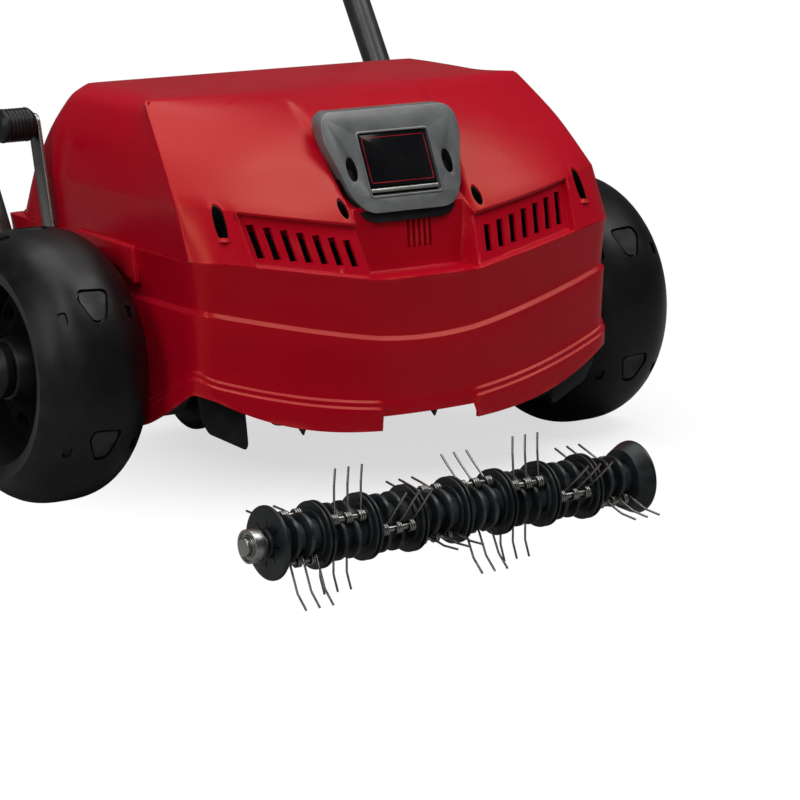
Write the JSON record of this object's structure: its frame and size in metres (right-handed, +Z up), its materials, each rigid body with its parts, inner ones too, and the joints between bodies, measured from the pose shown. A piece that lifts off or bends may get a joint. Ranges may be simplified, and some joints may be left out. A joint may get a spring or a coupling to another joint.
{
  "type": "electric lawn scarifier",
  "caption": "Walk-behind electric lawn scarifier: blade roller under a moulded housing, large front wheels, folding push handle, and a spare spring-tine aerator roller.",
  "frame": {"origin": "bottom centre of the bounding box of the machine and the roller in front of it, on the floor", "axes": "+X across the machine to the right of someone who faces its front, +Y towards the push handle, +Z up"},
  "size_m": [0.5696, 1.0335, 0.9662],
  "materials": {
    "red_plastic": "satin gloss",
    "black_plastic": "satin",
    "trim_plastic": "gloss",
    "slate_plastic": "satin",
    "plate_gloss": "gloss",
    "bright_steel": "bright",
    "blade_steel": "brushed",
    "tube_paint": "satin",
    "belt_rubber": "matt",
    "motor_can": "zinc plated",
    "grip_foam": "foam",
    "signal_red": "powder coated"
  },
  "bodies": {
    "chassis": {"deck_housing": "red_plastic", "motor_hood": "red_plastic", "hood_trim": "trim_plastic", "name_plate": "plate_gloss", "belt_cover": "black_plastic", "flap_rod": "bright_steel", "motor_can": "motor_can", "drive_belt": "belt_rubber", "roller_bearing_left": "bright_steel", "roller_bearing_right": "bright_steel", "rear_axle": "bright_steel", "lower_tube_left": "tube_paint", "lower_tube_right": "tube_paint"},
    "depth_crank": {"axle_crank": "bright_steel", "depth_lever_grip": "black_plastic"},
    "front_wheel_left": {"wheel_left": "black_plastic", "hub_cap_left": "black_plastic"},
    "front_wheel_right": {"wheel_right": "black_plastic", "hub_cap_right": "black_plastic"},
    "back_wheel_left": {"rear_wheel_left": "black_plastic"},
    "back_wheel_right": {"rear_wheel_right": "black_plastic"},
    "blade_roller": {"roller_shaft": "bright_steel", "roller_pulley": "black_plastic", "roller_end_disc": "black_plastic", "blade_unit_1": "blade_steel", "blade_unit_2": "blade_steel", "blade_unit_3": "blade_steel", "blade_unit_4": "blade_steel", "blade_unit_5": "blade_steel"},
    "motor_rotor": {"motor_shaft": "bright_steel", "cooling_fan": "black_plastic"},
    "flap": {"rear_flap": "black_plastic"},
    "upper_handle": {"upper_bow": "tube_paint", "switch_box": "black_plastic", "mains_inlet": "black_plastic", "bar_grip": "grip_foam"},
    "clamp_left": {"clamp_knob_left": "black_plastic"},
    "clamp_right": {"clamp_knob_right": "black_plastic"},
    "bail": {"bail_lever": "signal_red"},
    "button": {"safety_button": "signal_red"},
    "aerator": {"aerator_core": "slate_plastic", "aerator_shaft": "bright_steel", "tine_set_1a": "bright_steel", "tine_set_1b": "bright_steel", "tine_set_2a": "bright_steel", "tine_set_2b": "bright_steel", "tine_set_3a": "bright_steel", "tine_set_3b": "bright_steel", "tine_set_4a": "bright_steel", "tine_set_4b": "bright_steel", "tine_set_5a": "bright_steel", "tine_set_5b": "bright_steel", "tine_set_6a": "bright_steel", "tine_set_6b": "bright_steel", "tine_set_7a": "bright_steel", "tine_set_7b": "bright_steel", "tine_set_8a": "bright_steel", "tine_set_8b": "bright_steel"},
    "aerator_end_bearing": {"aerator_bearing": "bright_steel"}
  },
  "joints": [
    {"name": "depth_setting", "type": "hinge", "parent": "chassis", "child": "depth_crank", "pos_m": [0, -0.0716, 0.148], "axis": [1, 0, 0], "range_deg": [-27, 0]},
    {"name": "front_wheel_left_spin", "type": "hinge", "parent": "depth_crank", "child": "front_wheel_left", "pos_m": [-0.2365, -0.1336, 0.1], "axis": [1, 0, 0], "continuous": true},
    {"name": "front_wheel_right_spin", "type": "hinge", "parent": "depth_crank", "child": "front_wheel_right", "pos_m": [0.2365, -0.1336, 0.1], "axis": [1, 0, 0], "continuous": true},
    {"name": "back_wheel_left_spin", "type": "hinge", "parent": "chassis", "child": "back_wheel_left", "pos_m": [-0.1655, 0.0624, 0.04], "axis": [1, 0, 0], "continuous": true},
    {"name": "back_wheel_right_spin", "type": "hinge", "parent": "chassis", "child": "back_wheel_right", "pos_m": [0.1655, 0.0624, 0.04], "axis": [1, 0, 0], "continuous": true},
    {"name": "blade_roller_spin", "type": "hinge", "parent": "chassis", "child": "blade_roller", "pos_m": [0, -0.1836, 0.093], "axis": [1, 0, 0], "continuous": true},
    {"name": "motor_spin", "type": "hinge", "parent": "chassis", "child": "motor_rotor", "pos_m": [0, -0.0936, 0.214], "axis": [1, 0, 0], "continuous": true},
    {"name": "flap_swing", "type": "hinge", "parent": "chassis", "child": "flap", "pos_m": [0, 0.0244, 0.16], "axis": [1, 0, 0], "range_deg": [0, 70]},
    {"name": "handle_fold", "type": "hinge", "parent": "chassis", "child": "upper_handle", "pos_m": [0, 0.24346, 0.54858], "axis": [1, 0, 0], "range_deg": [0, 145]},
    {"name": "clamp_left_turn", "type": "hinge", "parent": "chassis", "child": "clamp_left", "pos_m": [-0.2155, 0.24346, 0.54858], "axis": [-1, 0, 0], "continuous": true},
    {"name": "clamp_right_turn", "type": "hinge", "parent": "chassis", "child": "clamp_right", "pos_m": [0.2155, 0.24346, 0.54858], "axis": [1, 0, 0], "continuous": true},
    {"name": "bail_press", "type": "hinge", "parent": "upper_handle", "child": "bail", "pos_m": [0, 0.43688, 0.85812], "axis": [-1, 0, 0], "range_deg": [0, 16], "stiffness_Nm_per_rad": 1, "springref_deg": -17.19},
    {"name": "button_press", "type": "slide", "parent": "upper_handle", "child": "button", "axis": [0, -0.5299, -0.848], "range_m": [0, 0.005], "stiffness_N_per_m": 300, "springref_m": -0.002},
    {"name": "aerator_lift", "type": "slide", "parent": "chassis", "child": "aerator", "axis": [0, 0, 1], "range_m": [0, 0.15]},
    {"name": "aerator_bearing_turn", "type": "hinge", "parent": "aerator", "child": "aerator_end_bearing", "pos_m": [-0.27492, -0.48109, 0.04599], "axis": [0.9995, 0.0314, 0], "continuous": true}
  ],
  "couplings": [
    {"joint": "motor_spin", "follows": "blade_roller_spin", "ratio": 2.3636}
  ]
}
